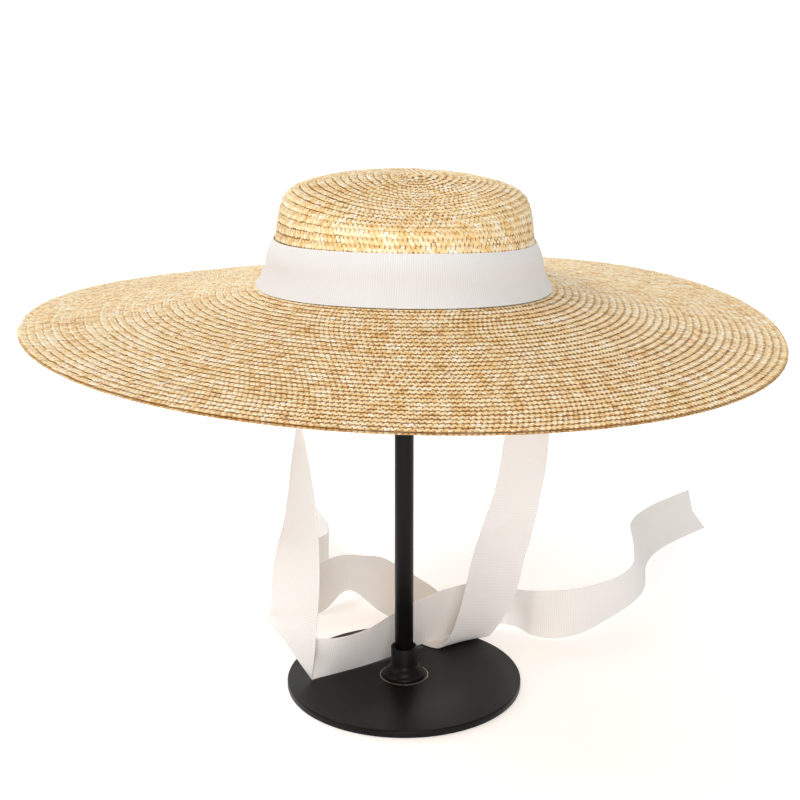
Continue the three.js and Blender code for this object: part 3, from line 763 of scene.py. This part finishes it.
# Grosgrain of cotton and polyester: a heavy weft wrapped in fine warp makes cross ribs, about seven
# to the centimetre, and the thick yarns scatter light softly and let a little of it through.
RIB = 1.4                     # millimetres from rib to rib
grosgrain, tree, shader = new_finish(
    "white_grosgrain_ribbon", Roughness=0.82, Specular_IOR_Level=0.25,
    Sheen_Weight=0.1, Sheen_Roughness=0.5,
    Subsurface_Weight=0.7, Subsurface_Radius=(1, 0.95, 0.9), Subsurface_Scale=0.0012,
)
flat_place = add(tree, "ShaderNodeUVMap", uv_map="ribbon_uv").outputs["UV"]
rib_place = add(tree, "ShaderNodeMapping", {"Vector": flat_place, "Scale": (1 / (RIB * MM), 1, 1)})
rib = add(tree, "ShaderNodeTexWave", {
    "Vector": rib_place.outputs[0], "Scale": math.tau / 20, "Distortion": 0.0,
}, wave_type="BANDS", bands_direction="X", wave_profile="SIN")
yarn_place = add(tree, "ShaderNodeMapping", {"Vector": flat_place, "Scale": (900, 3500, 1)})
yarn = add(tree, "ShaderNodeTexNoise", {"Vector": yarn_place.outputs[0], "Scale": 1, "Detail": 2})
cloth_mix = add(tree, "ShaderNodeMath", {
    0: rib.outputs["Fac"], 1: yarn.outputs["Fac"],
}, operation="MULTIPLY")
ribbon_colour = paint_ramp(tree, cloth_mix.outputs[0], [(0.0, "#e0ddda"), (0.5, "#eae7e5")])
tree.links.new(ribbon_colour, shader.inputs["Base Color"])
ribs = add(tree, "ShaderNodeBump", {"Height": rib.outputs["Fac"], "Strength": 0.22, "Distance": 0.00015})
weave = add(tree, "ShaderNodeBump", {
    "Height": yarn.outputs["Fac"], "Strength": 0.25, "Distance": 0.0001, "Normal": ribs.outputs["Normal"],
})
tree.links.new(weave.outputs["Normal"], shader.inputs["Normal"])

band_line = np.array(BAND_PROFILE, float)
band_length = np.concatenate([[0], np.cumsum(np.linalg.norm(np.diff(band_line, axis=0), axis=1))])
band_steps = np.arange(0, band_length[-1], STEP)
band_at = np.linspace(0, band_length[-1], BAND_COLUMNS)
band_reach, band_height = (
    np.interp(band_at, band_steps, soften(np.interp(band_steps, band_length, band_line[:, k]), BAND_SOFT))
    for k in (0, 1)
)
around = np.linspace(0, 2 * math.pi, BAND_AROUND, endpoint=False)
band_out = np.stack([band_ring(r, z, around) for r, z in zip(band_reach, band_height)], 1)
band_run = np.gradient(np.stack([band_reach, band_height], 1), axis=0)
band_run /= np.linalg.norm(band_run, axis=1, keepdims=True)
band_in = np.stack([
    band_ring(r + run[1] * BAND_THICK, z - run[0] * BAND_THICK, around)
    for r, z, run in zip(band_reach, band_height, band_run)
], 1)
band_mesh = ribbon_mesh("band", band_out, band_in, True)
band = place("grosgrain_band", band_mesh, grosgrain, "ribbon", "hat_band")


# The ties: the same grosgrain in two lengths 38 mm wide, through a slit in the brim at each side of
# the crown. They hang straight down, fold on the foot and run away behind the post on their edges.
TIE_WIDTH = 38
TIE_THICK = 0.6
TIE_NOTCH = 7
NOTCH_FROM = 16               # length over which the rows close up towards the notch
TIE_STEP = 2.2                # spacing of the rows along the ribbon
TIE_COLUMNS = 14
TIE_DENSE = 24                # places between two rows at which its length is measured
BUCKLE_DEPTH = 1.6
BUCKLE_ACROSS = 5             # from the dent's middle to its deepest line
BUCKLE_LONG = 13              # length along that line over which it fades
BUCKLE_WAY = (0.63, 0.78)     # the way across it, along and across the ribbon
RUN_STEP = 0.05               # rows to the points that give the ribbon's way

# One row for each place along the ribbon: x, y and z of its first edge, the way from there to its
# other edge as a compass turn from +X and a rise above level, and how many widths that measures,
# which is more than one only along the slanting fold.
TIE_LEFT = [
    (-88.8, -19, 286.2, 90, 0, 1),
    (-88.6, -19, 268, 90, 0, 1),
    (-83, -18.9, 240, 91, 0, 1),
    (-74, -18.8, 211, 96, 0, 1),
    (-66, -18.5, 185, 101, 0, 1),
    (-61, -17, 153, 115, 0, 1),
    (-58.5, -15.5, 131, 124, 0, 1),
    (-57.3, -13.5, 112, 132, 0, 1),
    (-57, -11, 93, 145, 0, 1),
    (-57.5, -9, 71, 153, -1, 1),
    (-59, -9.5, 52, 153, -2, 1),
    (-60.5, -10, 34, 156, 19, 1.02),
    (-62.2, -10.3, 17, 154, 38, 1.15),
    (-63.6, -10.4, 5.8, 153, 48, 1.24),
    (-62.4, -9, 5.3, 147, 51, 1.07),
    (-59, -6.5, 5.3, 149, 62, 0.92),
    (-54, -3.4, 5.3, 202, 72, 0.84),
    (-45, 2.2, 5.3, 266, 64, 0.97),
    (-28, 13, 5.3, 273, 64, 1),
    (-9, 27, 5.8, 271, 74, 1),
    (10, 43, 6.6, 268, 80, 1),
    (27, 56, 6.8, 262, 86, 1),
    (45, 68, 6.4, 229, 86, 1),
    (58, 79, 5.6, 250, 84, 1),
    (70, 89, 2.6, 280, 76, 1),
    (79, 92, 0.7, 286, 68, 1),
    (87, 86.5, 0.5, 280, 71, 1),
    (96, 73, 0.5, 287, 83, 1),
    (112, 67, 0.5, 80, 87, 1),
    (132, 76, 0.5, 246, 87, 1),
    (159, 105, 0.5, 255, 72, 1),
    (178, 129, 0.5, 248, 66, 1),
    (189, 147, 0.5, 238, 66, 1),
    (195, 162, 0.5, 215, 70, 1),
    (199, 178, 0.5, 185, 72, 1),
    (202, 196, 0.5, 172, 70, 1),
    (206, 214, 0.5, 165, 67, 1),
    (214, 233, 0.5, 158, 65, 1),
    (226, 252, 0.5, 152, 64, 1),
    (242, 271, 0.5, 150, 62, 1),
    (258, 287, 0.5, 146, 62, 1),
    (275, 304, 0.5, 142, 61, 1),
]
TIE_RIGHT = [
    (88.8, -19, 283.6, 90, 0, 1),
    (88.6, -18.6, 268, 89, 0, 1),
    (84, -12.5, 242, 78, 0, 1),
    (77, -6, 215, 60, 0, 1),
    (71, -1, 192, 43, 0, 1),
    (66.5, 2, 174, 32, -3, 1),
    (65, 5, 160, 29, -3, 1),
    (63, 8.5, 144, 27, -3, 1),
    (60, 13, 129, 24, -4, 1),
    (55.5, 20, 111, 17, -4, 1),
    (51.5, 27, 93, 11, -3, 1),
    (47.5, 34, 75, 6, 0, 1),
    (45, 39, 58, 6, -1, 1),
    (42, 41.5, 42, 14, -5, 1),
    (39, 41, 31, 23, -10, 1),
    (35.5, 40, 20, 31, -12, 1),
    (31.5, 39, 11.5, 35, -9, 1),
    (26, 39.5, 6.2, 38, -1, 1),
    (20, 42, 5.5, 38, 0, 1),
    (14, 46.5, 5.5, 36, 0, 1),
    (7, 56, 5.5, 33, 1, 1),
    (2.5, 67, 5.5, 29, 8, 1),
    (0.5, 76, 5.7, 26, 18, 1),
    (-1.2, 83, 5.6, 24, 23, 1),
    (-4, 91, 2.6, 23, 35, 1),
    (-7.5, 99, 0.7, 22, 45, 1),
    (-14, 109, 0.5, 22, 53, 1),
    (-22, 121, 0.6, 24, 58, 1),
    (-30, 133, 2.4, 10, 70, 1),
    (-37, 142, 4.6, 296, 73, 1),
    (-44, 145, 6.4, 275, 69, 1),
    (-50, 141, 5.4, 266, 73, 1),
    (-56, 131, 2.2, 232, 84, 1),
    (-61, 121, 0.6, 122, 82, 1),
    (-67, 111, 0.5, 114, 79, 1),
    (-77, 103, 0.5, 95, 80, 1),
    (-90, 103, 0.5, 60, 84, 1),
    (-101, 113, 0.5, 20, 84, 1),
    (-104, 130, 0.5, 340, 86, 1),
    (-99, 150, 0.5, 300, 87, 1),
    (-87, 166, 0.5, 290, 88, 1),
    (-73, 176, 0.5, 290, 89, 1),
    (-64.5, 187, 0.5, 0, 89, 1),
    (-64, 203, 0.5, 0, 89, 1),
    (-68, 222, 0.5, 0, 89, 1),
    (-77, 250, 0.5, 180, 89, 1),
    (-87, 273, 0.5, 180, 88, 1),
    (-96, 292, 0.5, 180, 88, 1),
]


def smooth_line(points, places):
    """A centripetal Catmull-Rom line through points, at places counted in points."""
    line = np.concatenate([[2 * points[0] - points[1]], points, [2 * points[-1] - points[-2]]])
    i = np.minimum(places.astype(int), len(points) - 2)
    share = (places - i)[:, None]
    p0, p1, p2, p3 = (line[i + k] for k in range(4))
    d0, d1, d2 = (np.linalg.norm(b - a, axis=1)[:, None] ** 0.5 for a, b in ((p0, p1), (p1, p2), (p2, p3)))
    t1 = ((p1 - p0) / d0 - (p2 - p0) / (d0 + d1) + (p2 - p1) / d1) * d1
    t2 = ((p2 - p1) / d1 - (p3 - p1) / (d1 + d2) + (p3 - p2) / d2) * d1
    return (p1 + t1 * share + (3 * (p2 - p1) - 2 * t1 - t2) * share ** 2
            + (2 * (p1 - p2) + t1 + t2) * share ** 3)


def tie_edges(rows):
    """Dense places along a tie, the length up to each, and the rows' points on its two edges, in metres."""
    table = np.array(rows, float)
    turn, rise = np.radians(table[:, 3]), np.radians(table[:, 4])
    across = np.stack([np.cos(rise) * np.cos(turn), np.cos(rise) * np.sin(turn), np.sin(rise)], 1)
    first = table[:, :3] * MM
    other = first + across * (TIE_WIDTH * MM * table[:, 5])[:, None]
    dense = np.linspace(0, len(rows) - 1, (len(rows) - 1) * TIE_DENSE + 1)
    a, b = smooth_line(first, dense), smooth_line(other, dense)
    length = np.concatenate([[0], np.cumsum(np.linalg.norm(np.diff((a + b) / 2, axis=0), axis=1))])
    return dense, length, first, other


def tie(name, rows, node, buckle=None):
    """A tie in its place. buckle is the place of a soft slanting dent, in millimetres along and across
    the ribbon."""
    dense, length, first, other = tie_edges(rows)
    count = int(length[-1] / (TIE_STEP * MM))
    along = np.linspace(0, length[-1], count + 1)[:, None]
    column = np.linspace(0, 1, TIE_COLUMNS + 1)[None, :]
    left = np.clip((along - (length[-1] - NOTCH_FROM * MM)) / (NOTCH_FROM * MM), 0, 1)
    along = along - left * TIE_NOTCH * MM * (1 - np.abs(2 * column - 1))
    places = np.interp(along, length, dense)
    flat = places.ravel()
    a = smooth_line(first, flat)
    b = smooth_line(other, flat)
    share = np.repeat(column, count + 1, 0).ravel()[:, None]
    middle = a + (b - a) * share
    ahead, behind = np.minimum(flat + RUN_STEP, len(rows) - 1), np.maximum(flat - RUN_STEP, 0)
    run = unit(smooth_line(first, ahead) + smooth_line(other, ahead)
               - smooth_line(first, behind) - smooth_line(other, behind))
    out = unit(np.cross(run, unit(b - a)))
    face = out * TIE_THICK / 2 * MM
    if buckle:
        down = (along / MM - buckle[0]).ravel()
        aside = (np.repeat(column, count + 1, 0) * TIE_WIDTH - buckle[1]).ravel()
        through = (BUCKLE_WAY[0] * down + BUCKLE_WAY[1] * aside) / BUCKLE_ACROSS
        line = (BUCKLE_WAY[1] * down - BUCKLE_WAY[0] * aside) / BUCKLE_LONG
        dent = through * np.exp(0.5 - through ** 2 / 2 - line ** 2 / 2)
        middle = middle + out * (dent * BUCKLE_DEPTH * MM)[:, None]
    grid = (count + 1, TIE_COLUMNS + 1, 3)
    mesh = ribbon_mesh(name, (middle + face).reshape(grid), (middle - face).reshape(grid), False)
    piece = place(name, mesh, grosgrain, "ribbon", node)
    return piece


tie("grosgrain_tie_left", TIE_LEFT, "tie_left")
tie("grosgrain_tie_right", TIE_RIGHT, "tie_right", buckle=(190, 17))


# The studio: one sheet of matt white paper for table and backdrop. Lamps of its own light it, which
# its glow stands for. The glow is weaker close to the stand, so that soft shadows stay there.
PAPER_FRONT = -2.2            # metres from the stand, towards the camera
PAPER_BEND = 2.2
PAPER_RADIUS = 1.2
PAPER_WIDTH = 12
PAPER_HEIGHT = 5
PAPER_DROP = 0.0003           # below the foot's underside
GLOW_FROM = 0.15              # distances from the stand between which the glow rises
GLOW_TO = 1.1
GLOW_NEAR = 0.34
GLOW_FAR = 0.62

paper, tree, shader = new_finish(
    "matt_white_paper", Roughness=0.9, Specular_IOR_Level=0.2, Emission_Color=srgb("#ffffff"))
spot = add(tree, "ShaderNodeTexCoord").outputs["Object"]
cloudy = add(tree, "ShaderNodeTexNoise", {"Vector": spot, "Scale": 1.2, "Detail": 2})
tree.links.new(paint_ramp(tree, cloudy.outputs["Fac"], [(0.3, "#f7f7f6"), (0.7, "#fafafa")]),
               shader.inputs["Base Color"])
from_stand = add(tree, "ShaderNodeVectorMath", {0: spot}, operation="LENGTH")
lit_behind = add(tree, "ShaderNodeMapRange", {
    "Value": from_stand.outputs["Value"], "From Min": GLOW_FROM, "From Max": GLOW_TO,
    "To Min": GLOW_NEAR, "To Max": GLOW_FAR,
})
tree.links.new(lit_behind.outputs[0], shader.inputs["Emission Strength"])
bend = [(PAPER_BEND + PAPER_RADIUS * math.sin(t), PAPER_RADIUS * (1 - math.cos(t)))
        for t in np.linspace(0, math.pi / 2, 25)]
sweep = [(PAPER_FRONT, 0)] + bend + [(PAPER_BEND + PAPER_RADIUS, PAPER_HEIGHT)]
mesh = bpy.data.meshes.new("paper_sweep")
mesh.from_pydata(
    [(side * PAPER_WIDTH / 2, y, z - PAPER_DROP) for y, z in sweep for side in (-1, 1)], [],
    [(2 * i, 2 * i + 1, 2 * i + 3, 2 * i + 2) for i in range(len(sweep) - 1)],
)
mesh.materials.append(paper)
mesh.shade_smooth()
floor = bpy.data.objects.new("paper_sweep", mesh)
scene.collection.objects.link(floor)


# Soft lamps: the key high on the left, a large one high in front, a low one in front for the ties,
# and weak ones overhead and behind on the left. The white walls of the room give the rest.
def soft_light(name, place, aim, size, watts, colour):
    data = bpy.data.lights.new(name, "AREA")
    data.shape = "DISK"
    data.size = size
    data.energy = watts
    data.color = srgb(colour)[:3]
    light = bpy.data.objects.new(name, data)
    scene.collection.objects.link(light)
    light.location = place
    light.rotation_euler = (Vector(aim) - Vector(place)).to_track_quat("-Z", "Y").to_euler()


soft_light("key_light", (-1.7, -0.5, 2.2), (0, 0, 0.25), 1.0, 25, "#fffdfb")
soft_light("front_light", (0.2, -2.2, 1.5), (0, 0, 0.2), 1.5, 28, "#fffefc")
soft_light("low_light", (0.2, -2.2, 0.2), (0, 0, 0.1), 1.5, 13, "#fbfbff")
soft_light("top_light", (-0.1, -0.4, 2.5), (0, 0, 0.2), 1.8, 5, "#ffffff")
soft_light("back_light", (-1.3, 1.5, 1.6), (0, 0, 0.2), 1.2, 5, "#ffffff")

world = bpy.data.worlds.new("white_room")
world.use_nodes = True
world.node_tree.nodes["Background"].inputs["Color"].default_value = srgb("#fbfbfd")
world.node_tree.nodes["Background"].inputs["Strength"].default_value = 0.27
scene.world = world
scene.view_settings.view_transform = "Standard"
